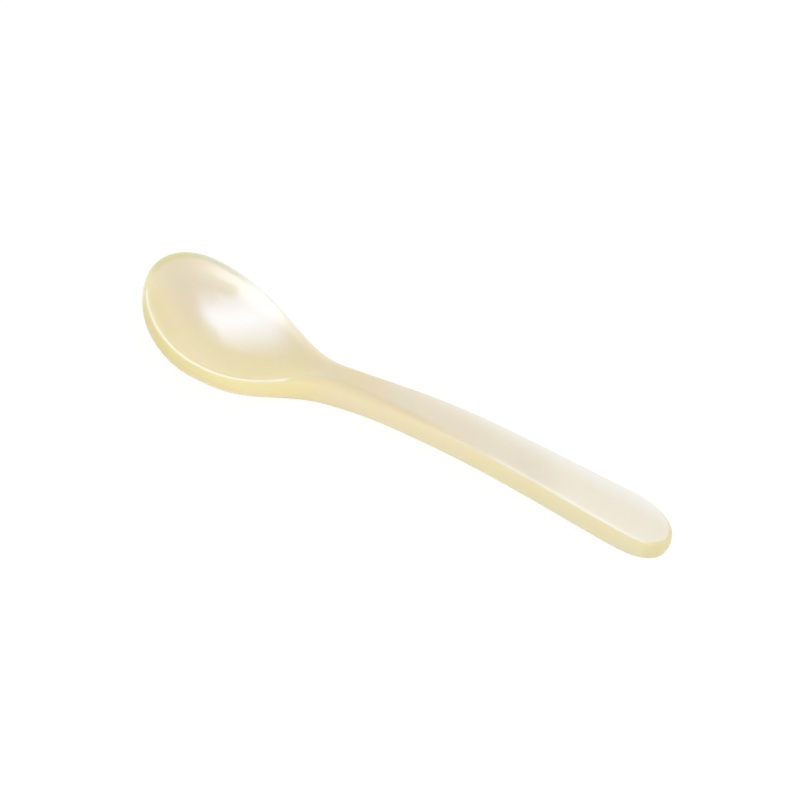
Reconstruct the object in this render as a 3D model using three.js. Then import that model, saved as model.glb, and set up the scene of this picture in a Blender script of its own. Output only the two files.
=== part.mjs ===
import * as THREE from 'three';

// A salt spoon carved and polished from one piece of mother-of-pearl.
// Millimetres, +Z up. The bowl points to -X, the handle to +X, and the spoon lies on the plane z = 0.
// The origin is on that plane, under the middle of the spoon's length.

// Plan view: lengths along X, widths right across Y
const BOWL_LENGTH = 29.4; // tip of the bowl to the narrowest place of the neck
const BOWL_WIDTH = 21.2;
const WIDEST_FROM_TIP = 9.5;
const SHOULDER_FULLNESS = 1.18; // 1 narrows evenly to the neck, more keeps the bowl broad for longer
const NECK_WIDTH = 5.5;
const HANDLE_LENGTH = 50.6; // neck to the end of the handle
const HANDLE_END_WIDTH = 9.3;
const HANDLE_FLARE = 1.25; // 1 widens evenly from the neck, more widens late
const END_ROUND_LENGTH = 9;
const END_SQUARENESS = 2.5; // 2 is an ellipse, more is squarer

// Side view: height of the upper edge above the table, and its rise for each millimetre along X
const TIP_HEIGHT = 7.4;
const TIP_SLOPE = -0.105;
const NECK_HEIGHT = 5.9;
const NECK_SLOPE = 0.09;
const ARCH_FROM_NECK = 16.3;
const ARCH_HEIGHT = 6.4;
const ARCH_SLOPE = -0.016;
const END_SLOPE = -0.048;

// Depth of the handle below its upper edge, and the wall under the deepest place of the hollow
const NECK_THICKNESS = 3.5;
const HANDLE_END_THICKNESS = 3.9;
const FLOOR_THICKNESS = 1.7;

// Hollow of the bowl
const HOLLOW_DEEPEST_FROM_TIP = 13.5;
const HOLLOW_PAST_NECK = 1.5;
const HOLLOW_FULLNESS = 2.6; // 2 is a parabola across, more is flatter at the floor
const HOLLOW_LIP_EASE = 1.2; // above 1 the hollow leaves the lip level

// Underside: an oval under the bowl that turns into a rounded oblong under the handle
const KEEL_RISES_FROM_TIP = 15.5;
const KEEL_LEVELS_PAST_NECK = 8.3;
const BOWL_SQUARENESS = 2.1;
const HANDLE_SQUARENESS = 6;
const HANDLE_END_SQUARENESS = 3.5;
const SQUARE_PAST_NECK = 12;
const REST_FLAT_DEPTH = 0.25; // rubbed flat where the spoon rests

// Rounding of the upper edge, softest at the neck and at the end of the handle
const LIP_RADIUS = 0.32;
const NECK_EDGE_RADIUS = 1.5;
const HANDLE_EDGE_RADIUS = 0.38;
const END_EDGE_RADIUS = 1.3;
const SOFT_EDGE_BEFORE_NECK = 10;
const SOFT_EDGE_PAST_NECK = 18;
const END_SOFT_LENGTH = 5; // stretch over which the end of the handle rounds off

// Slight crown across the top of the handle
const HANDLE_CROWN = 0.25;
const CROWN_GROWS_OVER = 15;

// Spokes run from the outline in to a spine on the middle line
const TIP_SPINE_LENGTH = 1.5;
const END_SPINE_REACH = 0.6; // share of the rounded end that the spine runs into

// Fineness of the facets
const TIP_STEPS = 12;
const SHOULDER_STEPS = 14;
const HANDLE_STEPS = 16;
const END_STEPS = 10;
const TOP_RINGS = 7;
const ROUND_STEPS = 3;
const UNDER_RINGS = 10;

// Finish
const NACRE_COLOUR = 0xece2c6;
const NACRE_ROUGHNESS = 0.22;
const NACRE_METALNESS = 0;

const SPOON_LENGTH = BOWL_LENGTH + HANDLE_LENGTH;
const NECK_X = BOWL_LENGTH;
const ARCH_X = NECK_X + ARCH_FROM_NECK;
const END_ROUND_X = SPOON_LENGTH - END_ROUND_LENGTH;
const QUARTER_TURN = Math.PI / 2;

// The functions below count x from the tip of the bowl. The mesh is set over the origin at the end.

function between(low, high, share) {
  return low + (high - low) * share;
}

function shareOf(x, start, end) {
  return THREE.MathUtils.clamp((x - start) / (end - start), 0, 1);
}

function hermite(x, start, end) {
  const span = end.x - start.x;
  const u = shareOf(x, start.x, end.x);
  const v = 1 - u;
  const heights = start.z * (1 + 2 * u) * v * v + end.z * u * u * (1 + 2 * v);
  return heights + span * u * v * (start.slope * v - end.slope * u);
}

// Half the width of the outline
function halfWidth(x) {
  const bowl = BOWL_WIDTH / 2;
  const neck = NECK_WIDTH / 2;
  if (x < WIDEST_FROM_TIP) {
    const u = 1 - x / WIDEST_FROM_TIP;
    return bowl * Math.sqrt(Math.max(0, 1 - u * u));
  }
  if (x < NECK_X) {
    const u = shareOf(x, WIDEST_FROM_TIP, NECK_X);
    return between(neck, bowl, (1 + Math.cos(Math.PI * u ** SHOULDER_FULLNESS)) / 2);
  }
  const flank = between(neck, HANDLE_END_WIDTH / 2, shareOf(x, NECK_X, SPOON_LENGTH) ** HANDLE_FLARE);
  const round = 1 - shareOf(x, END_ROUND_X, SPOON_LENGTH) ** END_SQUARENESS;
  return flank * Math.max(0, round) ** (1 / END_SQUARENESS);
}

// Height of the upper edge, from the tip over the neck and the arch of the handle to its end
function edgeHeight(x) {
  const tip = { x: 0, z: TIP_HEIGHT, slope: TIP_SLOPE };
  const neck = { x: NECK_X, z: NECK_HEIGHT, slope: NECK_SLOPE };
  const arch = { x: ARCH_X, z: ARCH_HEIGHT, slope: ARCH_SLOPE };
  const end = { x: SPOON_LENGTH, z: HANDLE_END_THICKNESS - REST_FLAT_DEPTH, slope: END_SLOPE };
  if (x < neck.x) return hermite(x, tip, neck);
  if (x < arch.x) return hermite(x, neck, arch);
  return hermite(x, arch, end);
}

// Depth of the handle below its upper edge
function handleThickness(x) {
  return between(NECK_THICKNESS, HANDLE_END_THICKNESS, shareOf(x, NECK_X, SPOON_LENGTH));
}

// How far the rounding of the handle's end has set in
function endSoftness(x) {
  return THREE.MathUtils.smoothstep(x, SPOON_LENGTH - END_SOFT_LENGTH, SPOON_LENGTH);
}

// Radius of the upper edge's rounding
function edgeRadius(x) {
  if (x < NECK_X) {
    const towardsNeck = THREE.MathUtils.smoothstep(x, NECK_X - SOFT_EDGE_BEFORE_NECK, NECK_X);
    return between(LIP_RADIUS, NECK_EDGE_RADIUS, towardsNeck);
  }
  const pastNeck = THREE.MathUtils.smoothstep(x, NECK_X, NECK_X + SOFT_EDGE_PAST_NECK);
  const handle = between(NECK_EDGE_RADIUS, HANDLE_EDGE_RADIUS, pastNeck);
  return between(handle, END_EDGE_RADIUS, endSoftness(x));
}

// 1 up to the start, then an even ease down to 0 at the end
function runOut(x, start, end) {
  return Math.cos(QUARTER_TURN * shareOf(x, start, end)) ** 2;
}

// Depth of the hollow below the upper edge, on the spine
function hollowDepth(x) {
  return (edgeHeight(x) - FLOOR_THICKNESS) * runOut(x, HOLLOW_DEEPEST_FROM_TIP, NECK_X + HOLLOW_PAST_NECK);
}

// Depth of the keel below the upper edge: to the table under the bowl, then to the handle's underside
function keelDepth(x) {
  const handle = handleThickness(x);
  const toTable = edgeHeight(x) + REST_FLAT_DEPTH;
  return between(handle, toTable, runOut(x, KEEL_RISES_FROM_TIP, NECK_X + KEEL_LEVELS_PAST_NECK));
}

// Exponent of the underside's curve across: 2 is an ellipse, more is squarer
function undersideSquareness(spoke) {
  const share = THREE.MathUtils.smoothstep(spoke.spine, HOLLOW_DEEPEST_FROM_TIP, NECK_X + SQUARE_PAST_NECK);
  const squareness = between(BOWL_SQUARENESS, HANDLE_SQUARENESS, share);
  return between(squareness, HANDLE_END_SQUARENESS, endSoftness(spoke.x));
}

// Upper surface over a point of a spoke; share is 0 on the spine and 1 where the edge's rounding starts
function upperHeight(point, spineX, share) {
  const crown = HANDLE_CROWN * THREE.MathUtils.smoothstep(spineX, NECK_X, NECK_X + CROWN_GROWS_OVER);
  const hollow = hollowDepth(spineX) * (1 - share ** HOLLOW_FULLNESS) ** HOLLOW_LIP_EASE;
  return edgeHeight(point.x) + crown * (1 - share * share) - hollow;
}

// Stations from the tip to the end of the handle: place on the outline and place on the spine
function stations() {
  const list = [];
  for (let i = 0; i <= TIP_STEPS; i += 1) {
    const turn = QUARTER_TURN * i / TIP_STEPS;
    const spine = HOLLOW_DEEPEST_FROM_TIP - TIP_SPINE_LENGTH * Math.cos(turn);
    list.push({ x: WIDEST_FROM_TIP * (1 - Math.cos(turn)), spine });
  }
  for (let i = 1; i <= SHOULDER_STEPS; i += 1) {
    const x = between(WIDEST_FROM_TIP, NECK_X, i / SHOULDER_STEPS);
    const lead = 1 - THREE.MathUtils.smoothstep(x, WIDEST_FROM_TIP, NECK_X);
    list.push({ x, spine: x + (HOLLOW_DEEPEST_FROM_TIP - WIDEST_FROM_TIP) * lead });
  }
  for (let i = 1; i <= HANDLE_STEPS; i += 1) {
    const x = between(NECK_X, END_ROUND_X, i / HANDLE_STEPS);
    list.push({ x, spine: x });
  }
  for (let i = 1; i <= END_STEPS; i += 1) {
    const sine = Math.sin(QUARTER_TURN * i / END_STEPS);
    const x = END_ROUND_X + END_ROUND_LENGTH * sine ** (2 / END_SQUARENESS);
    list.push({ x, spine: END_ROUND_X + END_ROUND_LENGTH * END_SPINE_REACH * sine });
  }
  return list;
}

// Closed loop round the outline, out along -Y and back along +Y, with outward normals
function outlineLoop(list) {
  const last = list.length - 1;
  const near = list.map((s, i) => ({ station: i, spine: s.spine, x: s.x, y: -halfWidth(s.x) }));
  near[0].y = 0;
  near[last].y = 0;
  const far = near.slice(1, last).reverse().map((p) => ({ ...p, y: -p.y }));
  const loop = [...near, ...far];
  return loop.map((p, i) => {
    const before = loop[(i + loop.length - 1) % loop.length];
    const after = loop[(i + 1) % loop.length];
    const along = new THREE.Vector2(after.x - before.x, after.y - before.y).normalize();
    return { ...p, normal: new THREE.Vector2(along.y, -along.x) };
  });
}

// One spoke's points, from the upper spine out over the edge and back in to the lower spine
function spokePoints(p) {
  const points = [];
  const inset = (depth) => ({ x: p.x - p.normal.x * depth, y: p.y - p.normal.y * depth });
  const onSpoke = (edge, share) => ({ x: between(p.spine, edge.x, share), y: edge.y * share });
  const add = (place, z) => points.push(new THREE.Vector3(place.x, place.y, z));
  const radius = edgeRadius(p.x);
  for (let i = 0; i <= TOP_RINGS; i += 1) {
    const share = i / TOP_RINGS;
    const place = onSpoke(inset(radius), share);
    add(place, upperHeight(place, p.spine, share));
  }
  for (let i = 1; i <= ROUND_STEPS; i += 1) {
    const turn = QUARTER_TURN * i / ROUND_STEPS;
    const place = inset(radius * (1 - Math.sin(turn)));
    add(place, edgeHeight(place.x) - radius * (1 - Math.cos(turn)));
  }
  const power = 2 / undersideSquareness(p);
  const drop = keelDepth(p.spine) - radius;
  for (let i = 1; i <= UNDER_RINGS; i += 1) {
    const turn = QUARTER_TURN * i / UNDER_RINGS;
    const share = i < UNDER_RINGS ? Math.cos(turn) ** power : 0;
    const place = onSpoke(p, share);
    add(place, Math.max(0, edgeHeight(place.x) - radius - drop * Math.sin(turn) ** power));
  }
  return points;
}

// Two triangles over a four-sided facet, split along its shorter diagonal, without those that close to a line
function addFacet(index, points, corners) {
  const [a, b, c, d] = corners;
  const shorter = points[a].distanceTo(points[c]) <= points[b].distanceTo(points[d]);
  const triangles = shorter ? [[a, b, c], [a, c, d]] : [[a, b, d], [b, c, d]];
  for (const triangle of triangles) {
    if (new Set(triangle).size === triangle.length) index.push(...triangle);
  }
}

function spoonGeometry() {
  const loop = outlineLoop(stations());
  const points = [];
  const index = [];
  const spineVertex = new Map();
  const spokes = loop.map((p) => {
    const spoke = spokePoints(p);
    return spoke.map((point, ring) => {
      const onSpine = ring === 0 || ring === spoke.length - 1;
      const key = `${ring} ${p.station}`;
      if (onSpine && spineVertex.has(key)) return spineVertex.get(key);
      points.push(point);
      if (onSpine) spineVertex.set(key, points.length - 1);
      return points.length - 1;
    });
  });
  spokes.forEach((spoke, i) => {
    const next = spokes[(i + 1) % spokes.length];
    for (let ring = 0; ring + 1 < spoke.length; ring += 1) {
      addFacet(index, points, [spoke[ring], spoke[ring + 1], next[ring + 1], next[ring]]);
    }
  });
  const geometry = new THREE.BufferGeometry().setFromPoints(points);
  geometry.setIndex(index);
  geometry.computeVertexNormals();
  return geometry;
}

function nacre() {
  return new THREE.MeshStandardMaterial({
    color: NACRE_COLOUR,
    roughness: NACRE_ROUGHNESS,
    metalness: NACRE_METALNESS,
  });
}

function spoon() {
  const mesh = new THREE.Mesh(spoonGeometry(), nacre());
  mesh.name = 'spoon';
  mesh.position.x = -SPOON_LENGTH / 2;
  return mesh;
}

const saltSpoon = new THREE.Group();
saltSpoon.name = 'salt_spoon';
saltSpoon.add(spoon());

export default saltSpoon;
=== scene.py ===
"""A salt spoon of polished mother-of-pearl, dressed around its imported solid.

Lengths are in metres. The bowl points to -X, the handle to +X, and the spoon lies on the plane z = 0.
"""
import logging
import math
from dataclasses import dataclass, field
from enum import Enum
from functools import reduce

import bmesh
import bpy
from mathutils import Color, Matrix, Vector


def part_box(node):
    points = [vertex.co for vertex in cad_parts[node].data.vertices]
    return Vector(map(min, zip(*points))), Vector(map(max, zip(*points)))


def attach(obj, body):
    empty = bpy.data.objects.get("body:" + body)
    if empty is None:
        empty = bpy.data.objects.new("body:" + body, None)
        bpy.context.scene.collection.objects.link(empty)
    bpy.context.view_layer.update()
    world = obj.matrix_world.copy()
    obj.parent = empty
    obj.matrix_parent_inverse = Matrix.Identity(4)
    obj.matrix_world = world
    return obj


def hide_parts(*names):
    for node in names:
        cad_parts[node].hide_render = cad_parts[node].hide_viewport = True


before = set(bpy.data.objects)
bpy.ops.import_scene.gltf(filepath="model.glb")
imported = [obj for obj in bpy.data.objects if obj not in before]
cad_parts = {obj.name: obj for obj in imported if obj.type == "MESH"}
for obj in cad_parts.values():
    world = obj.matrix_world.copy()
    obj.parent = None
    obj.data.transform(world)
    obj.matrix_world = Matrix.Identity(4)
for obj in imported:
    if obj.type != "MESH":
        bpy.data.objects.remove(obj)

Colour = tuple[float, float, float, float]
Span = tuple[float, float]
Socket = bpy.types.NodeSocket

MM = 0.001
QUARTER_TURN = math.pi / 2
UP = Vector((0, 0, 1))
UNIT: Span = (0.0, 1.0)
WHITE: Colour = (1.0, 1.0, 1.0, 1.0)
COOL: Colour = (0.5, 0.66, 1.0, 1.0)
FULL_LEVEL = 255
NODE = "spoon"
BODY = "root"
SPOKE = "spoke"
EDGE_WAY = "edge_way"

log = logging.getLogger("salt_spoon")


def between(low: float, high: float, share: float) -> float:
    """Value at a share of the way from low to high."""
    return low + (high - low) * share


def share_of(x: float, start: float, end: float) -> float:
    """Share of the way from start to end that x has gone, held between 0 and 1."""
    return min(1.0, max(0.0, (x - start) / (end - start)))


def smooth(x: float, start: float, end: float) -> float:
    """Share of the way from start to end, eased in and out."""
    u = share_of(x, start, end)
    return u * u * (3 - 2 * u)


def run_out(x: float, start: float, end: float) -> float:
    """1 up to the start, then an even ease down to 0 at the end."""
    return math.cos(QUARTER_TURN * share_of(x, start, end)) ** 2


def paint(red: int, green: int, blue: int) -> Colour:
    """Scene-linear colour of a screen colour, whose levels run from 0 to 255."""
    screen = Color((red / FULL_LEVEL, green / FULL_LEVEL, blue / FULL_LEVEL))
    return *screen.from_srgb_to_scene_linear(), 1.0


def look_from(azimuth: float, elevation: float) -> Vector:
    """Direction from the spoon to a place round it.

    Args:
        azimuth: Degrees round the spoon. 0 is towards -Y and 90 towards +X.
        elevation: Degrees above the table.

    Returns:
        The direction, of length 1.
    """
    a, e = math.radians(azimuth), math.radians(elevation)
    return Vector((math.sin(a) * math.cos(e), -math.cos(a) * math.cos(e), math.sin(e)))


@dataclass(frozen=True)
class Knot:
    """A height of the upper edge: place along the spoon, height and rise per length."""

    x: float
    z: float
    slope: float

    def curve_to(self, end: "Knot", x: float) -> float:
        """Height at x on the smooth curve from this knot to the next.

        Args:
            end: The next knot.
            x: Place along the spoon.

        Returns:
            The height above the table.
        """
        u = share_of(x, self.x, end.x)
        v = 1 - u
        heights = self.z * (1 + 2 * u) * v * v + end.z * u * u * (1 + 2 * v)
        return heights + (end.x - self.x) * u * v * (self.slope * v - end.slope * u)


@dataclass(frozen=True)
class Spoke:
    """Line from a point of the outline in to the spine, with the outline's outward direction there."""

    x: float
    y: float
    spine: float
    normal: Vector

    def inset(self, depth: float) -> Vector:
        """Place that lies the given depth inside the outline."""
        return Vector((self.x, self.y)) - self.normal * depth

    def toward(self, edge: Vector, share: float) -> Vector:
        """Place at a share of the way from the spine to an edge point."""
        return Vector((between(self.spine, edge.x, share), edge.y * share))


@dataclass(frozen=True)
class Outline:
    """Plan view of the spoon. x runs from the tip of the bowl to the end of the handle."""

    length: float
    bowl_width: float
    bowl_length: float = 29.4 * MM
    widest_from_tip: float = 9.5 * MM
    shoulder_fullness: float = 1.18
    neck_width: float = 5.5 * MM
    end_width: float = 9.3 * MM
    handle_flare: float = 1.25
    end_round_length: float = 9 * MM
    end_squareness: float = 2.5
    spine_start: float = 13.5 * MM
    tip_spine_length: float = 1.5 * MM
    end_spine_reach: float = 0.6
    tip_steps: int = 18
    shoulder_steps: int = 20
    handle_steps: int = 22
    end_steps: int = 14

    @property
    def end_round_x(self) -> float:
        """Where the rounded end of the handle starts."""
        return self.length - self.end_round_length

    def half_width(self, x: float) -> float:
        """Half the width of the outline.

        Args:
            x: Place along the spoon.

        Returns:
            The distance from the spoon's middle line to its edge.
        """
        bowl, neck = self.bowl_width / 2, self.neck_width / 2
        if x < self.widest_from_tip:
            u = 1 - x / self.widest_from_tip
            return bowl * math.sqrt(max(0.0, 1 - u * u))
        if x < self.bowl_length:
            u = share_of(x, self.widest_from_tip, self.bowl_length)
            return between(neck, bowl, (1 + math.cos(math.pi * u ** self.shoulder_fullness)) / 2)
        along = share_of(x, self.bowl_length, self.length)
        flank = between(neck, self.end_width / 2, along ** self.handle_flare)
        cut = 1 - share_of(x, self.end_round_x, self.length) ** self.end_squareness
        return flank * max(0.0, cut) ** (1 / self.end_squareness)

    def stations(self) -> list[tuple[float, float]]:
        """Places along one side of the spoon, from the tip to the end of the handle.

        Returns:
            For each, its x on the outline and the x that its spoke meets on the spine.
        """
        places = []
        for i in range(self.tip_steps + 1):
            cosine = math.cos(QUARTER_TURN * i / self.tip_steps)
            spine = self.spine_start - self.tip_spine_length * cosine
            places.append((self.widest_from_tip * (1 - cosine), spine))
        for i in range(1, self.shoulder_steps + 1):
            x = between(self.widest_from_tip, self.bowl_length, i / self.shoulder_steps)
            lead = 1 - smooth(x, self.widest_from_tip, self.bowl_length)
            places.append((x, x + (self.spine_start - self.widest_from_tip) * lead))
        for i in range(1, self.handle_steps + 1):
            x = between(self.bowl_length, self.end_round_x, i / self.handle_steps)
            places.append((x, x))
        for i in range(1, self.end_steps + 1):
            sine = math.sin(QUARTER_TURN * i / self.end_steps)
            x = self.end_round_x + self.end_round_length * sine ** (2 / self.end_squareness)
            places.append((x, self.end_round_x + self.end_round_length * self.end_spine_reach * sine))
        return places

    def spokes(self) -> list[Spoke]:
        """Spokes round the whole outline.

        Returns:
            The spokes, out along -Y from the tip and back along +Y.
        """
        near = [(x, -self.half_width(x), spine) for x, spine in self.stations()]
        near[0] = (near[0][0], 0.0, near[0][2])
        near[-1] = (near[-1][0], 0.0, near[-1][2])
        loop = near + [(x, -y, spine) for x, y, spine in reversed(near[1:-1])]
        spokes = []
        for i, (x, y, spine) in enumerate(loop):
            before, after = loop[i - 1], loop[(i + 1) % len(loop)]
            along = Vector((after[0] - before[0], after[1] - before[1])).normalized()
            spokes.append(Spoke(x, y, spine, Vector((along.y, -along.x))))
        return spokes


@dataclass
class Spoon:
    """The spoon: bowl, neck and handle cut and polished from one piece of shell."""

    outline: Outline
    tip_height: float = 7.4 * MM
    tip_slope: float = -0.105
    neck_height: float = 5.9 * MM
    neck_slope: float = 0.09
    arch_from_neck: float = 16.3 * MM
    arch_height: float = 6.4 * MM
    arch_slope: float = -0.016
    end_slope: float = -0.048
    neck_thickness: float = 3.5 * MM
    end_thickness: float = 3.9 * MM
    floor_thickness: float = 1.7 * MM
    hollow_past_neck: float = 1.5 * MM
    hollow_fullness: float = 2.6
    hollow_lip_ease: float = 1.2
    keel_rises_from_tip: float = 15.5 * MM
    keel_levels_past_neck: float = 8.3 * MM
    bowl_squareness: float = 2.1
    handle_squareness: float = 6.0
    end_squareness: float = 3.5
    square_past_neck: float = 12 * MM
    rest_flat_depth: float = 0.25 * MM
    lip_radius: float = 0.32 * MM
    neck_edge_radius: float = 1.5 * MM
    handle_edge_radius: float = 0.38 * MM
    end_edge_radius: float = 1.3 * MM
    end_soft_length: float = 5 * MM
    soft_edge_before_neck: float = 10 * MM
    soft_edge_past_neck: float = 18 * MM
    handle_crown: float = 0.25 * MM
    crown_grows_over: float = 15 * MM
    top_rings: int = 12
    lip_steps: int = 4
    under_rings: int = 14
    smoothing: int = 2
    merge_distance: float = 0.0005 * MM
    piece: bpy.types.Object | None = field(default=None, init=False)

    @property
    def neck_x(self) -> float:
        """Narrowest place of the neck."""
        return self.outline.bowl_length

    def edge_height(self, x: float) -> float:
        """Height of the upper edge.

        Args:
            x: Place along the spoon.

        Returns:
            The height above the table.
        """
        end_height = self.end_thickness - self.rest_flat_depth
        knots = (
            Knot(0.0, self.tip_height, self.tip_slope),
            Knot(self.neck_x, self.neck_height, self.neck_slope),
            Knot(self.neck_x + self.arch_from_neck, self.arch_height, self.arch_slope),
            Knot(self.outline.length, end_height, self.end_slope),
        )
        start = max(i for i, knot in enumerate(knots[:-1]) if i == 0 or x >= knot.x)
        return knots[start].curve_to(knots[start + 1], x)

    def end_softness(self, x: float) -> float:
        """How far the rounding of the handle's end has set in at x."""
        return smooth(x, self.outline.length - self.end_soft_length, self.outline.length)

    def edge_radius(self, x: float) -> float:
        """Radius of the upper edge's rounding, softest at the neck and at the end of the handle.

        Args:
            x: Place along the spoon.

        Returns:
            The radius.
        """
        if x < self.neck_x:
            rise = smooth(x, self.neck_x - self.soft_edge_before_neck, self.neck_x)
            return between(self.lip_radius, self.neck_edge_radius, rise)
        fall = smooth(x, self.neck_x, self.neck_x + self.soft_edge_past_neck)
        handle = between(self.neck_edge_radius, self.handle_edge_radius, fall)
        return between(handle, self.end_edge_radius, self.end_softness(x))

    def hollow_depth(self, x: float) -> float:
        """Depth of the hollow below the upper edge, on the spine."""
        reach = run_out(x, self.outline.spine_start, self.neck_x + self.hollow_past_neck)
        return (self.edge_height(x) - self.floor_thickness) * reach

    def keel_depth(self, x: float) -> float:
        """Depth of the underside below the upper edge, on the spine.

        Args:
            x: Place along the spine.

        Returns:
            The depth.
        """
        along = share_of(x, self.neck_x, self.outline.length)
        handle = between(self.neck_thickness, self.end_thickness, along)
        to_table = self.edge_height(x) + self.rest_flat_depth
        reach = run_out(x, self.keel_rises_from_tip, self.neck_x + self.keel_levels_past_neck)
        return between(handle, to_table, reach)

    def under_power(self, spoke: Spoke) -> float:
        """Power of the underside's curve across: an oval under the bowl, an oblong under the handle.

        Args:
            spoke: The spoke to follow.

        Returns:
            The power of the curve's sine and cosine.
        """
        share = smooth(spoke.spine, self.outline.spine_start, self.neck_x + self.square_past_neck)
        squareness = between(self.bowl_squareness, self.handle_squareness, share)
        return 2 / between(squareness, self.end_squareness, self.end_softness(spoke.x))

    def section(self, spoke: Spoke) -> list[tuple[Vector, float]]:
        """Points of one spoke, from the upper spine over the edge to the lower spine.

        Args:
            spoke: The spoke to follow.

        Returns:
            Points in the spoon's own frame, each with its way over the edge: -1 on the upper spine, 0 where
            the rounding of the edge starts, 1 from where it ends.
        """
        points = []
        middle = Vector((self.outline.length / 2, 0, 0))

        def add(place: Vector, height: float, way: float) -> None:
            """Adds a point over a place of the plan."""
            points.append((Vector((place.x, place.y, height)) - middle, way))

        radius = self.edge_radius(spoke.x)
        crown = self.handle_crown * smooth(spoke.spine, self.neck_x, self.neck_x + self.crown_grows_over)
        hollow = self.hollow_depth(spoke.spine)
        for i in range(self.top_rings + 1):
            share = i / self.top_rings
            place = spoke.toward(spoke.inset(radius), share)
            dip = hollow * (1 - share ** self.hollow_fullness) ** self.hollow_lip_ease
            add(place, self.edge_height(place.x) + crown * (1 - share * share) - dip, share - 1)
        for i in range(1, self.lip_steps + 1):
            share = i / self.lip_steps
            turn = QUARTER_TURN * share
            place = spoke.inset(radius * (1 - math.sin(turn)))
            add(place, self.edge_height(place.x) - radius * (1 - math.cos(turn)), share)
        power = self.under_power(spoke)
        drop = self.keel_depth(spoke.spine) - radius
        for i in range(1, self.under_rings + 1):
            turn = QUARTER_TURN * i / self.under_rings
            share = math.cos(turn) ** power if i < self.under_rings else 0.0
            place = spoke.toward(Vector((spoke.x, spoke.y)), share)
            height = self.edge_height(place.x) - radius - drop * math.sin(turn) ** power
            add(place, max(0.0, height), 1.0)
        return points

    def build(self) -> bpy.types.Object:
        """Models the spoon ring by ring, from the upper spine over the edge to the lower spine.

        Returns:
            The finished object, at the origin.
        """
        sections = [self.section(spoke) for spoke in self.outline.spokes()]
        bpy.ops.object.select_all(action="DESELECT")
        bpy.ops.mesh.primitive_circle_add(vertices=len(sections), radius=self.outline.length / 2)
        self.piece = bpy.context.object
        self.piece.name = self.piece.data.name = "nacre_spoon"
        attributes = self.piece.data.attributes
        attributes.new(SPOKE, "INT", "POINT").data.foreach_set("value", range(len(sections)))
        attributes.new(EDGE_WAY, "FLOAT", "POINT")
        bpy.ops.object.mode_set(mode="EDIT")
        bpy.ops.mesh.select_all(action="SELECT")
        first, *rest = zip(*sections)
        self.lay_ring(first)
        for ring in rest:
            bpy.ops.mesh.extrude_region_move()
            self.lay_ring(ring)
        bpy.ops.mesh.select_all(action="SELECT")
        bpy.ops.mesh.remove_doubles(threshold=self.merge_distance)
        bpy.ops.mesh.normals_make_consistent(inside=False)
        bpy.ops.object.mode_set(mode="OBJECT")
        attributes = self.piece.data.attributes
        attributes.remove(attributes[SPOKE])
        bpy.ops.object.shade_smooth()
        rounding = self.piece.modifiers.new("rounding", "SUBSURF")
        rounding.levels = rounding.render_levels = self.smoothing
        bpy.ops.object.modifier_apply(modifier=rounding.name)
        return self.piece

    def lay_ring(self, ring: tuple[tuple[Vector, float], ...]) -> None:
        """Sets the selected loop of vertices on one ring of points.

        Args:
            ring: Point and way over the edge for each spoke. An extruded vertex keeps its spoke's number.
        """
        mesh = bmesh.from_edit_mesh(self.piece.data)
        spoke = mesh.verts.layers.int[SPOKE]
        edge_way = mesh.verts.layers.float[EDGE_WAY]
        for vertex in mesh.verts:
            if vertex.select:
                vertex.co, vertex[edge_way] = ring[vertex[spoke]]
        bmesh.update_edit_mesh(self.piece.data)

    def dress(self, finish: "NacreFinish") -> None:
        """Gives the piece its finish and ties it to the frame.

        Args:
            finish: The finish of the polished shell.
        """
        self.piece.data.materials.append(finish.material())
        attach(self.piece, BODY)
        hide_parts(NODE)


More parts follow.
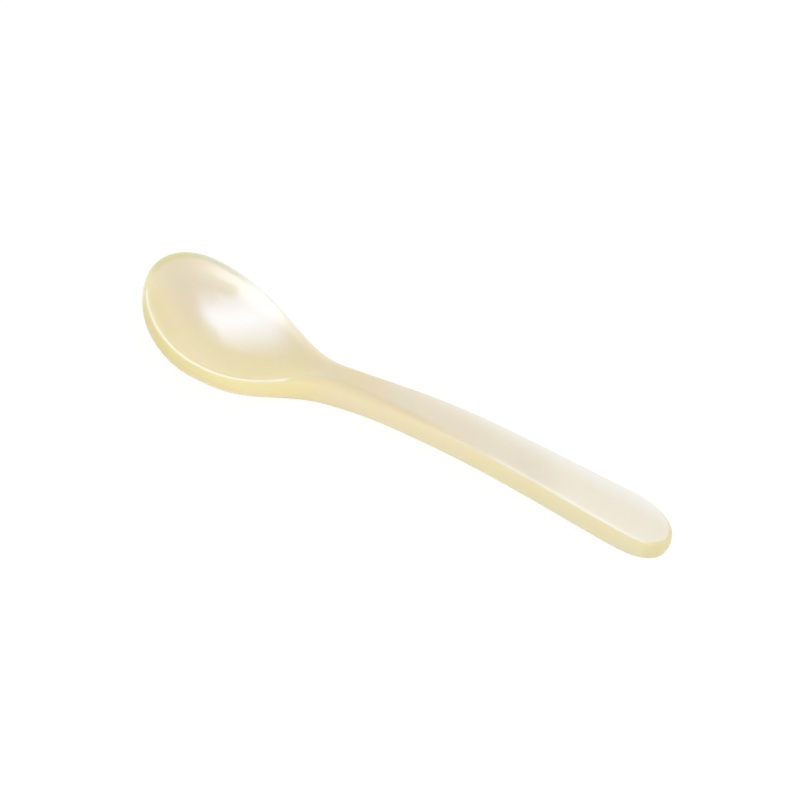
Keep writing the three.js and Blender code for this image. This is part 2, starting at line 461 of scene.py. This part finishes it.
class Graph:
    """A node tree with short ways to add and join nodes."""

    def __init__(self, tree: bpy.types.NodeTree) -> None:
        """Takes the tree and empties it."""
        self.tree = tree
        self.tree.nodes.clear()

    def add(self, kind: str, **settings: object) -> bpy.types.Node:
        """Adds a node.

        Args:
            kind: The node's type name.
            settings: Properties of the node, by name.

        Returns:
            The new node.
        """
        node = self.tree.nodes.new(kind)
        for name, value in settings.items():
            setattr(node, name, value)
        return node

    def join(self, value: object, socket: Socket) -> None:
        """Sets or links one input.

        Args:
            value: A constant or an output socket.
            socket: The input.
        """
        if isinstance(value, Socket):
            self.tree.links.new(value, socket)
        else:
            socket.default_value = value

    def set(self, node: bpy.types.Node, **values: object) -> bpy.types.Node:
        """Sets or links inputs of a node.

        Args:
            node: The node.
            values: Input names with underscores for spaces, each a constant or an output socket.

        Returns:
            The same node.
        """
        for name, value in values.items():
            self.join(value, node.inputs[name.replace("_", " ")])
        return node

    def fill(self, node: bpy.types.Node, *values: object) -> Socket:
        """Sets or links the first inputs of a node.

        Args:
            node: The node.
            values: Constants or output sockets, in the order of the inputs.

        Returns:
            The node's first output.
        """
        for value, socket in zip(values, node.inputs):
            self.join(value, socket)
        return node.outputs[0]

    def math(self, operation: str, *values: object) -> Socket:
        """Result of a Math node on constants or sockets."""
        return self.fill(self.add("ShaderNodeMath", operation=operation), *values)

    def times(self, *values: object) -> Socket:
        """Product of constants or sockets."""
        return reduce(lambda product, value: self.math("MULTIPLY", product, value), values)

    def ease(self, value: Socket, span: tuple[object, object], ends: Span) -> Socket:
        """A result that goes smoothly from one end to the other over a span of values.

        Args:
            value: The value's socket.
            span: Values at the start and the end, each a constant or a socket.
            ends: Results at the start and the end.

        Returns:
            The result's socket.
        """
        node = self.add("ShaderNodeMapRange", interpolation_type="SMOOTHSTEP", clamp=True)
        return self.fill(node, value, *span, *ends)

    def rise(self, value: Socket, span: tuple[object, object]) -> Socket:
        """0 before a span of values, 1 past it."""
        return self.ease(value, span, UNIT)

    def fall(self, value: Socket, span: Span) -> Socket:
        """1 before a span of values, 0 past it."""
        return self.ease(value, span, (1.0, 0.0))

    def window(self, value: Socket, rise: Span, fall: Span) -> Socket:
        """1 between two spans of values, 0 outside them."""
        return self.times(self.rise(value, rise), self.fall(value, fall))

    def mix(self, share: Socket, low: object, high: object) -> Socket:
        """Colour between two colours.

        Args:
            share: 0 for the first colour, 1 for the second.
            low: First colour, a constant or a socket.
            high: Second colour, a constant or a socket.

        Returns:
            The mixed colour's socket.
        """
        node = self.add("ShaderNodeMix", data_type="RGBA", clamp_factor=True)
        for value, name in ((share, "Factor_Float"), (low, "A_Color"), (high, "B_Color")):
            self.join(value, next(s for s in node.inputs if s.identifier == name))
        return next(s for s in node.outputs if s.identifier == "Result_Color")

    def seen(self) -> Socket:
        """Tells rays that show the background from those that light the spoon.

        Returns:
            A socket that is 1 for rays that are seen, reflected or sent through glass.
        """
        rays = self.add("ShaderNodeLightPath").outputs
        seen = self.math("MAXIMUM", rays["Is Camera Ray"], rays["Is Glossy Ray"])
        return self.math("MAXIMUM", seen, rays["Is Transmission Ray"])


class GrowthLayers:
    """Node group of the shell's growth layers, which the polished surface cuts at a slant."""

    FOLD_DETAIL = 2.0
    BAND_DETAIL = 3.0

    def build(self) -> bpy.types.NodeTree:
        """Makes the group.

        Returns:
            The group, with Spacing, Waviness, Slant and Fold Size as inputs and Band as its output.
        """
        tree = bpy.data.node_groups.new("growth_layers", "ShaderNodeTree")
        for name in ("Spacing", "Waviness", "Slant", "Fold Size"):
            tree.interface.new_socket(name=name, in_out="INPUT", socket_type="NodeSocketFloat")
        tree.interface.new_socket(name="Band", in_out="OUTPUT", socket_type="NodeSocketFloat")
        graph = Graph(tree)
        sizes = graph.add("NodeGroupInput").outputs
        place = graph.add("ShaderNodeTexCoord").outputs["Object"]
        axes = graph.set(graph.add("ShaderNodeSeparateXYZ"), Vector=place).outputs
        fold = graph.add("ShaderNodeTexNoise")
        fold_scale = graph.math("DIVIDE", 1.0, sizes["Fold Size"])
        graph.set(fold, Vector=place, Scale=fold_scale, Detail=self.FOLD_DETAIL)
        depth = graph.math("ADD", axes["Z"], graph.times(fold.outputs[0], sizes["Waviness"]))
        depth = graph.math("ADD", depth, graph.times(axes["X"], sizes["Slant"]))
        band = graph.add("ShaderNodeTexNoise", noise_dimensions="1D")
        graph.set(band, W=graph.math("DIVIDE", depth, sizes["Spacing"]), Scale=1.0, Detail=self.BAND_DETAIL)
        graph.set(graph.add("NodeGroupOutput"), Band=band.outputs[0])
        return tree


@dataclass(frozen=True)
class GrowthBands:
    """Sizes of one set of growth bands."""

    spacing: float
    waviness: float
    slant: float
    fold_size: float

    def show(self, graph: Graph, layers: bpy.types.NodeTree) -> Socket:
        """Places the group of growth layers with these sizes.

        Args:
            graph: The material's nodes.
            layers: The group of growth layers.

        Returns:
            The bands' socket, around 0.5.
        """
        node = graph.add("ShaderNodeGroup", node_tree=layers)
        graph.set(node, Spacing=self.spacing, Waviness=self.waviness)
        graph.set(node, Slant=self.slant, Fold_Size=self.fold_size)
        return node.outputs["Band"]


@dataclass(frozen=True)
class Place:
    """Sockets that say where on the spoon a point lies: along it, across it and over its edge."""

    x: Socket
    y: Socket
    edge: Socket

    @classmethod
    def read(cls, graph: Graph) -> "Place":
        """Reads the place in a material.

        Args:
            graph: The material's nodes.

        Returns:
            The place's sockets.
        """
        point = graph.add("ShaderNodeTexCoord").outputs["Object"]
        axes = graph.set(graph.add("ShaderNodeSeparateXYZ"), Vector=point).outputs
        edge = graph.add("ShaderNodeAttribute", attribute_name=EDGE_WAY).outputs["Fac"]
        return cls(axes["X"], axes["Y"], edge)


@dataclass(frozen=True)
class NacreFinish:
    """Polished mother-of-pearl: a cream face, yellower where layers are cut, with a faint play of colour.

    A name that ends in _x is a span along the spoon, one in _y a span across it, where -Y is the near
    side, and one in _edge a span of the way over the edge.
    """

    # Face of the bowl, the neck and the handle, with painted shade: yellower on the near half of the bowl,
    # darker towards the near side of the handle; and a painted sheen: paler on the handle's far side
    bowl: Colour = paint(228, 217, 192)
    # Painted shade: yellower on the near half of the bowl's hollow
    bowl_near_shaded: Colour = paint(237, 223, 175)
    handle: Colour = paint(237, 231, 212)
    # Painted shade: darker towards the near side of the handle's top
    handle_near_shade: Colour = paint(225, 217, 193)
    # Painted sheen: paler towards the handle's far side
    handle_far_sheen: Colour = paint(244, 243, 235)
    neck: Colour = paint(231, 216, 176)
    bowl_to_handle_x: Span = (-19 * MM, 25 * MM)
    bowl_ends: Span = (0.0, 0.1)
    near_y: Span = (6 * MM, -2 * MM)
    far_y: Span = (-0.3 * MM, 4.6 * MM)
    handle_near_y: Span = (4 * MM, -3.5 * MM)
    handle_near_ends_x: Span = (17 * MM, 25 * MM)
    neck_starts_x: Span = (-14 * MM, -9 * MM)
    neck_ends_x: Span = (-9 * MM, -1 * MM)
    neck_tint: float = 0.8

    # Painted sheen: a pale band inside the bowl's far lip. Painted shade: a dark line along the far lip,
    # where the polish is also taken off
    band: Colour = paint(246, 237, 220)
    band_edge: Span = (-0.3, -0.12)
    band_starts_x: Span = (-37 * MM, -31 * MM)
    band_sheen_tint: float = 0.5
    # Painted shade: a dark line along the far lip, yellower towards the tip
    rim_shade: Colour = paint(207, 208, 193)
    tip_rim_shade: Colour = paint(214, 203, 158)
    rim_edge: Span = (-0.07, -0.02)
    rim_greys_x: Span = (-37 * MM, -31 * MM)
    rim_fades_x: Span = (-31 * MM, -23 * MM)
    rim_left: float = 0.25
    rim_shade_tint: float = 0.75

    # Painted shade: a tan ridge on the near side of the neck.
    # Painted highlight: a pale line on the bowl's near lip
    ridge_shade: Colour = paint(226, 211, 175)
    ridge_y: Span = (1.5 * MM, -0.5 * MM)
    ridge_starts_x: Span = (-18.5 * MM, -15.5 * MM)
    ridge_ends_x: Span = (-1 * MM, 10 * MM)
    ridge_edge: Span = (-0.4, 0.1)
    # Painted highlight: a pale line along the bowl's near lip
    arris_highlight: Colour = paint(252, 241, 222)
    arris_y: Span = (-0.8 * MM, -3 * MM)
    arris_ends_x: Span = (-18.2 * MM, -17.2 * MM)
    arris_starts_edge: Span = (-0.05, 0.05)
    arris_ends_edge: Span = (0.3, 0.6)

    # Sides, where the layers are cut across
    tip_cut: Colour = paint(232, 220, 166)
    bowl_cut: Colour = paint(248, 231, 178)
    neck_cut: Colour = paint(242, 228, 193)
    handle_cut: Colour = paint(238, 228, 189)
    end_cut: Colour = paint(230, 219, 170)
    tip_to_bowl_x: Span = (-38 * MM, -20 * MM)
    neck_cut_starts_x: Span = (-17 * MM, -9 * MM)
    neck_cut_ends_x: Span = (6 * MM, 14 * MM)
    end_x: Span = (35.5 * MM, 38 * MM)
    end_reach: Span = (1.0, 4.0)
    soft_starts_x: Span = (-18.5 * MM, -15.5 * MM)
    soft_ends_x: Span = (4 * MM, 13 * MM)
    cut_starts: Span = (0.45, -0.2)
    cut_full: float = 1.0

    # Growth bands and play of colour
    clouds: GrowthBands = GrowthBands(spacing=2 * MM, waviness=4 * MM, slant=0.06, fold_size=10 * MM)
    ripple: GrowthBands = GrowthBands(spacing=6 * MM, waviness=10 * MM, slant=0.06, fold_size=12 * MM)
    lines: GrowthBands = GrowthBands(spacing=0.2 * MM, waviness=0.6 * MM, slant=0.03, fold_size=5 * MM)
    sea: Colour = (0.985, 1.012, 0.992, 1.0)
    blush: Colour = (1.015, 0.997, 1.0, 1.0)
    sea_to_blush: Span = (0.35, 0.65)
    line_bands: Span = (0.3, 0.7)
    line_tones: Span = (0.994, 1.004)
    unevenness: float = 0.01 * MM

    # Polish
    bowl_gloss_ends_x: Span = (-23 * MM, -15.5 * MM)
    near_gloss_y: Span = (-6 * MM, -1 * MM)
    near_gloss: Span = (0.35, 1.0)
    streak_starts_y: Span = (6.9 * MM, 7.8 * MM)
    streak_ends_y: Span = (8.4 * MM, 9.1 * MM)
    streak_starts_x: Span = (-34 * MM, -32 * MM)
    streak_ends_x: Span = (-28 * MM, -25.5 * MM)
    streak_gloss: Span = (1.0, 0.32)
    handle_gloss_x: Span = (8 * MM, 15 * MM)
    handle_gloss: Span = (0.0, 0.5)
    worn_edge: Span = (-0.03, 0.1)
    roughness: Span = (0.9, 0.28)
    coat_roughness: float = 0.04
    base_mirror: float = 0.2
    index: float = 1.6

    # Light that passes through the shell
    glow: float = 0.6
    glow_depth: tuple[float, float, float] = (2.5 * MM, 1.8 * MM, 1.0 * MM)

    def material(self) -> bpy.types.Material:
        """Makes the material.

        Returns:
            The material of the polished shell.
        """
        material = bpy.data.materials.new("nacre")
        material.use_nodes = True
        graph = Graph(material.node_tree)
        layers = GrowthLayers().build()
        place = Place.read(graph)
        rim_shade = self.rim_shade_share(graph, place)
        gloss = self.gloss_share(graph, place, rim_shade)
        uneven = graph.add("ShaderNodeBump")
        graph.set(uneven, Height=self.ripple.show(graph, layers), Distance=self.unevenness)
        colour = graph.mix(
            self.cut_share(graph, place),
            self.face_colour(graph, place, rim_shade),
            self.cut_colour(graph, place))
        shader = graph.add("ShaderNodeBsdfPrincipled")
        graph.set(shader, Base_Color=self.play(graph, layers, colour), Normal=uneven.outputs[0])
        graph.set(shader, Roughness=graph.ease(gloss, UNIT, self.roughness), IOR=self.index)
        graph.set(shader, Coat_Weight=gloss, Coat_Roughness=self.coat_roughness)
        graph.set(shader, Specular_IOR_Level=self.base_mirror)
        graph.set(shader, Subsurface_Weight=self.glow, Subsurface_Scale=1.0)
        graph.set(shader, Subsurface_Radius=self.glow_depth)
        graph.set(graph.add("ShaderNodeOutputMaterial"), Surface=shader.outputs[0])
        return material

    def rim_shade_share(self, graph: Graph, place: Place) -> Socket:
        """How much the painted shade line inside the far lip shows.

        Args:
            graph: The material's nodes.
            place: Where on the spoon.

        Returns:
            The share's socket.
        """
        across = graph.times(graph.rise(place.edge, self.rim_edge), graph.rise(place.y, self.far_y))
        return graph.times(across, graph.ease(place.x, self.rim_fades_x, (1.0, self.rim_left)))

    def gloss_share(self, graph: Graph, place: Place, rim_shade: Socket) -> Socket:
        """Share of polish: most in the bowl, less on the handle, none on the neck and on worn edges.

        Args:
            graph: The material's nodes.
            place: Where on the spoon.
            rim_shade: How much the painted shade line inside the far lip shows.

        Returns:
            The share's socket.
        """
        streak = graph.times(
            graph.window(place.y, self.streak_starts_y, self.streak_ends_y),
            graph.window(place.x, self.streak_starts_x, self.streak_ends_x))
        bowl = graph.times(
            graph.fall(place.x, self.bowl_gloss_ends_x),
            graph.ease(place.y, self.near_gloss_y, self.near_gloss),
            graph.ease(streak, UNIT, self.streak_gloss))
        gloss = graph.math("ADD", bowl, graph.ease(place.x, self.handle_gloss_x, self.handle_gloss))
        worn = graph.times(graph.rise(place.y, self.far_y), graph.rise(place.edge, self.worn_edge))
        return graph.times(gloss, graph.math("SUBTRACT", 1.0, graph.math("MAXIMUM", worn, rim_shade)))

    def face_colour(self, graph: Graph, place: Place, rim_shade: Socket) -> Socket:
        """Colour of the polished face from bowl to handle end, with painted shade, sheen and highlights.

        Args:
            graph: The material's nodes.
            place: Where on the spoon.
            rim_shade: How much the painted shade line inside the far lip shows.

        Returns:
            The colour's socket.
        """
        handle = graph.rise(place.x, self.bowl_to_handle_x)
        bowl = graph.fall(handle, self.bowl_ends)
        # Painted shade: the near half of the bowl's hollow takes a yellower colour
        near = graph.times(graph.rise(place.y, self.near_y), bowl)
        face = graph.mix(handle, graph.mix(near, self.bowl, self.bowl_near_shaded), self.handle)
        # Painted sheen: the handle pales towards its far side
        face = graph.mix(graph.times(graph.rise(place.y, self.far_y), handle), face, self.handle_far_sheen)
        # Painted shade: the handle's top darkens towards its near side, fading out along the handle
        shade = graph.times(
            graph.rise(place.y, self.handle_near_y),
            graph.fall(place.x, self.handle_near_ends_x),
            handle)
        face = graph.mix(shade, face, self.handle_near_shade)
        neck = graph.window(place.x, self.neck_starts_x, self.neck_ends_x)
        face = graph.mix(graph.times(neck, self.neck_tint), face, self.neck)
        # Painted sheen: a pale band just inside the bowl's far lip
        band = graph.times(
            graph.ease(place.edge, self.band_edge, (0.0, self.band_sheen_tint)),
            graph.rise(place.x, self.band_starts_x),
            graph.math("SUBTRACT", bowl, near))
        face = graph.mix(band, face, self.band)
        # Painted shade: a dark line along the bowl's far lip, yellower towards the tip
        rim_shade_colour = graph.mix(graph.rise(place.x, self.rim_greys_x), self.tip_rim_shade, self.rim_shade)
        face = graph.mix(graph.times(rim_shade, self.rim_shade_tint, bowl), face, rim_shade_colour)
        # Painted shade: darker tan along the near edge of the neck
        ridge_shade = graph.times(
            graph.window(place.x, self.ridge_starts_x, self.ridge_ends_x),
            graph.rise(place.y, self.ridge_y),
            graph.rise(place.edge, self.ridge_edge))
        face = graph.mix(ridge_shade, face, self.ridge_shade)
        # Painted highlight: a pale line along the bowl's near lip
        arris_highlight = graph.times(
            graph.window(place.edge, self.arris_starts_edge, self.arris_ends_edge),
            graph.fall(place.x, self.arris_ends_x),
            graph.rise(place.y, self.arris_y),
            near)
        return graph.mix(arris_highlight, face, self.arris_highlight)

    def cut_colour(self, graph: Graph, place: Place) -> Socket:
        """Colour of the sides, where the layers are cut across.

        Args:
            graph: The material's nodes.
            place: Where on the spoon.

        Returns:
            The colour's socket.
        """
        bowl = graph.mix(graph.rise(place.x, self.tip_to_bowl_x), self.tip_cut, self.bowl_cut)
        cut = graph.mix(graph.rise(place.x, self.bowl_to_handle_x), bowl, self.handle_cut)
        neck = graph.window(place.x, self.neck_cut_starts_x, self.neck_cut_ends_x)
        cut = graph.mix(neck, cut, self.neck_cut)
        return graph.mix(graph.rise(place.x, self.end_x), cut, self.end_cut)

    def cut_share(self, graph: Graph, place: Place) -> Socket:
        """How much the cut layers show: on the sides, softly from the top at the neck, higher at the end.

        Args:
            graph: The material's nodes.
            place: Where on the spoon.

        Returns:
            The share's socket.
        """
        soft = graph.times(
            graph.window(place.x, self.soft_starts_x, self.soft_ends_x), graph.rise(place.y, self.ridge_y))
        way = graph.times(place.edge, graph.ease(place.x, self.end_x, self.end_reach))
        return graph.rise(way, (graph.ease(soft, UNIT, self.cut_starts), self.cut_full))

    def play(self, graph: Graph, layers: bpy.types.NodeTree, colour: Socket) -> Socket:
        """Adds the faint play of colour and the fine growth lines.

        Args:
            graph: The material's nodes.
            layers: The group of growth layers.
            colour: The plain colour.

        Returns:
            The colour's socket.
        """
        cloud = graph.rise(self.clouds.show(graph, layers), self.sea_to_blush)
        tint = graph.mix(cloud, self.sea, self.blush)
        clouded = graph.fill(graph.add("ShaderNodeVectorMath", operation="MULTIPLY"), colour, tint)
        lined = graph.add("ShaderNodeVectorMath", operation="SCALE")
        graph.set(lined, Scale=graph.ease(self.lines.show(graph, layers), self.line_bands, self.line_tones))
        return graph.fill(lined, clouded)


@dataclass(frozen=True)
class TableFinish:
    """White that keeps the spoon's soft shadow and is clear from below.

    Where the table is seen or mirrored, the glow is its share of plain white, at the given level.
    """

    white: Colour = (0.9, 0.9, 0.9, 1.0)
    glow: float = 0.9
    level: float = 1.05

    def material(self) -> bpy.types.Material:
        """Makes the material.

        Returns:
            The material of the table.
        """
        material = bpy.data.materials.new("white_table")
        material.use_nodes = True
        graph = Graph(material.node_tree)
        matt = graph.set(graph.add("ShaderNodeBsdfDiffuse"), Color=self.white).outputs[0]
        plain = graph.set(graph.add("ShaderNodeEmission"), Strength=self.level).outputs[0]
        clear = graph.add("ShaderNodeBsdfTransparent").outputs[0]
        shown = graph.times(graph.seen(), self.glow)
        top = graph.fill(graph.add("ShaderNodeMixShader"), shown, matt, plain)
        below = graph.add("ShaderNodeNewGeometry").outputs["Backfacing"]
        sides = graph.fill(graph.add("ShaderNodeMixShader"), below, top, clear)
        graph.set(graph.add("ShaderNodeOutputMaterial"), Surface=sides)
        return material


@dataclass
class Table:
    """The table that the spoon lies on, a hair's breadth below it."""

    size: float = 6.0
    gap: float = 0.02 * MM
    piece: bpy.types.Object | None = field(default=None, init=False)

    def build(self) -> bpy.types.Object:
        """Lays the table.

        Returns:
            The table's object.
        """
        bpy.ops.object.select_all(action="DESELECT")
        bpy.ops.mesh.primitive_plane_add(size=self.size, location=(0, 0, -self.gap))
        self.piece = bpy.context.object
        self.piece.name = self.piece.data.name = "table"
        return self.piece

    def dress(self, finish: TableFinish) -> None:
        """Gives the table its finish."""
        self.piece.data.materials.append(finish.material())


class Reach(Enum):
    """How a softbox lights the spoon. The values say whether it gives soft light and is mirrored."""

    SHEEN = (False, True)
    FILL = (True, False)


class Aim(Enum):
    """Where a softbox faces."""

    DOWN = "down"
    SPOON = "spoon"


@dataclass(frozen=True)
class Softbox:
    """An area lamp round the spoon.

    The spin is the direction of its length in degrees, where 90 is along X. The level is how bright the
    lamp looks in a mirror, where 1 is white, and the tint its colour. The fades are the shares of its face
    that dim towards its four edges: the start and end of its length, then those of its width.
    """

    name: str
    place: tuple[float, float, float]
    spin: float
    length: float
    width: float
    level: float
    reach: Reach
    aim: Aim
    fades: tuple[float, float, float, float] = (0.1, 0.1, 0.1, 0.1)
    tint: Colour = WHITE

    def hang(self) -> bpy.types.Object:
        """Makes the lamp.

        Returns:
            The lamp's object.
        """
        bpy.ops.object.light_add(type="AREA", location=self.place)
        lamp = bpy.context.object
        lamp.name = lamp.data.name = self.name
        back = UP if self.aim is Aim.DOWN else Vector(self.place).normalized()
        along = look_from(self.spin, 0.0)
        along = (along - back * along.dot(back)).normalized()
        lamp.rotation_euler = Matrix((along, back.cross(along), back)).transposed().to_euler()
        lamp.data.shape = "RECTANGLE"
        lamp.data.size = self.length
        lamp.data.size_y = self.width
        lamp.data.energy = self.level * math.pi * self.length * self.width
        lamp.visible_camera = False
        lamp.visible_diffuse, lamp.visible_glossy = self.reach.value
        self.soften(lamp.data)
        return lamp

    def soften(self, lamp: bpy.types.Light) -> None:
        """Tints the lamp's face and dims it towards its edges.

        Args:
            lamp: The lamp's data.
        """
        lamp.use_nodes = True
        graph = Graph(lamp.node_tree)
        face = graph.add("ShaderNodeNewGeometry").outputs["Parametric"]
        along, across, _ = graph.set(graph.add("ShaderNodeSeparateXYZ"), Vector=face).outputs
        sides = (along, graph.math("SUBTRACT", 1.0, along), across, graph.math("SUBTRACT", 1.0, across))
        strength = graph.times(*(graph.rise(side, (0.0, fade)) for side, fade in zip(sides, self.fades)))
        glow = graph.set(graph.add("ShaderNodeEmission"), Color=self.tint, Strength=strength)
        graph.set(graph.add("ShaderNodeOutputLight"), Surface=glow.outputs[0])


@dataclass(frozen=True)
class Studio:
    """Soft light round the spoon."""

    softboxes: tuple[Softbox, ...] = (
        Softbox(
            "key", place=(-0.09, -0.11, 0.9), spin=144, length=0.95, width=0.48, level=0.8,
            reach=Reach.FILL, aim=Aim.DOWN),
        Softbox(
            "glow", place=(-0.12, 0.028, 0.8), spin=133, length=1.54, width=1.24, level=7.9,
            reach=Reach.SHEEN, aim=Aim.DOWN, fades=(0.04, 0.25, 0.48, 0.6), tint=COOL),
        Softbox(
            "panel", place=(0.0, -0.804, 0.86), spin=96, length=1.7, width=1.0, level=7.5,
            reach=Reach.SHEEN, aim=Aim.DOWN, fades=(0.05, 0.05, 0.3, 0.43), tint=COOL),
        Softbox(
            "front", place=(0.15, -0.57, 0.53), spin=105, length=1.0, width=0.4, level=0.8,
            reach=Reach.SHEEN, aim=Aim.SPOON, fades=(0.1, 0.1, 0.05, 0.05)),
        Softbox(
            "fill", place=(0.13, -0.74, 0.27), spin=100, length=1.0, width=0.4, level=1.0,
            reach=Reach.FILL, aim=Aim.SPOON),
        Softbox(
            "back", place=(0.05, 0.62, 0.42), spin=90, length=1.0, width=0.5, level=0.65,
            reach=Reach.FILL, aim=Aim.SPOON),
    )
    ambient: float = 0.75

    def build(self) -> list[bpy.types.Object]:
        """Hangs the softboxes and sets the surrounding light.

        Returns:
            The lamps' objects.
        """
        lamps = [softbox.hang() for softbox in self.softboxes]
        self.surroundings()
        return lamps

    def surroundings(self) -> None:
        """White all round, at the ambient level for light that falls on the spoon."""
        world = bpy.data.worlds.new("white_room")
        world.use_nodes = True
        bpy.context.scene.world = world
        graph = Graph(world.node_tree)
        level = graph.add("ShaderNodeMapRange")
        graph.set(level, Value=graph.seen(), To_Min=self.ambient, To_Max=1.0)
        light = graph.set(graph.add("ShaderNodeBackground"), Color=WHITE, Strength=level.outputs[0])
        graph.set(graph.add("ShaderNodeOutputWorld"), Surface=light.outputs[0])


@dataclass(frozen=True)
class PhotoCamera:
    """Camera at the photograph's viewing angle. The image is 800 by 800 pixels."""

    azimuth: float = -12.68
    elevation: float = 40.93
    roll: float = 32.18
    distance: float = 2.0
    image_size: int = 800
    pixels_per_metre: float = 7480.0
    target: Vector = Vector((0, 0, 4 * MM))
    target_pixel: tuple[float, float] = (407.27, 414.99)
    sensor: float = 36.0
    clip_end: float = 20.0

    def build(self) -> bpy.types.Object:
        """Makes the camera and puts it in charge.

        Returns:
            The camera's object.
        """
        back = look_from(self.azimuth, self.elevation)
        level = UP.cross(back).normalized()
        right = Matrix.Rotation(math.radians(self.roll), 3, back) @ level
        up = back.cross(right)
        middle = self.image_size / 2
        aside = (self.target_pixel[0] - middle) / self.pixels_per_metre
        below = (self.target_pixel[1] - middle) / self.pixels_per_metre
        place = self.target + back * self.distance - right * aside + up * below
        bpy.ops.object.camera_add(location=place)
        camera = bpy.context.object
        camera.name = camera.data.name = "photo_camera"
        camera.rotation_euler = Matrix((right, up, back)).transposed().to_euler()
        camera.data.sensor_width = self.sensor
        camera.data.lens = self.pixels_per_metre * self.distance * self.sensor / self.image_size
        camera.data.clip_end = self.clip_end
        bpy.context.scene.camera = camera
        return camera


def main() -> None:
    """Builds the spoon, the table, the light and the camera, in that order."""
    logging.basicConfig(level=logging.INFO, format="%(name)s: %(message)s")
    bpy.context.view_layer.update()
    low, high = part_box(NODE)
    spoon = Spoon(Outline(length=high.x - low.x, bowl_width=high.y - low.y))
    piece = spoon.build()
    spoon.dress(NacreFinish())
    log.info("%s has %d faces", piece.name, len(piece.data.polygons))
    table = Table()
    top = table.build()
    table.dress(TableFinish())
    log.info("%s is laid", top.name)
    lamps = Studio().build()
    log.info("%d softboxes are hung", len(lamps))
    camera = PhotoCamera().build()
    log.info("%s looks along the photograph's angle", camera.name)
    bpy.context.scene.view_settings.view_transform = "Standard"


if __name__ == "__main__":
    main()
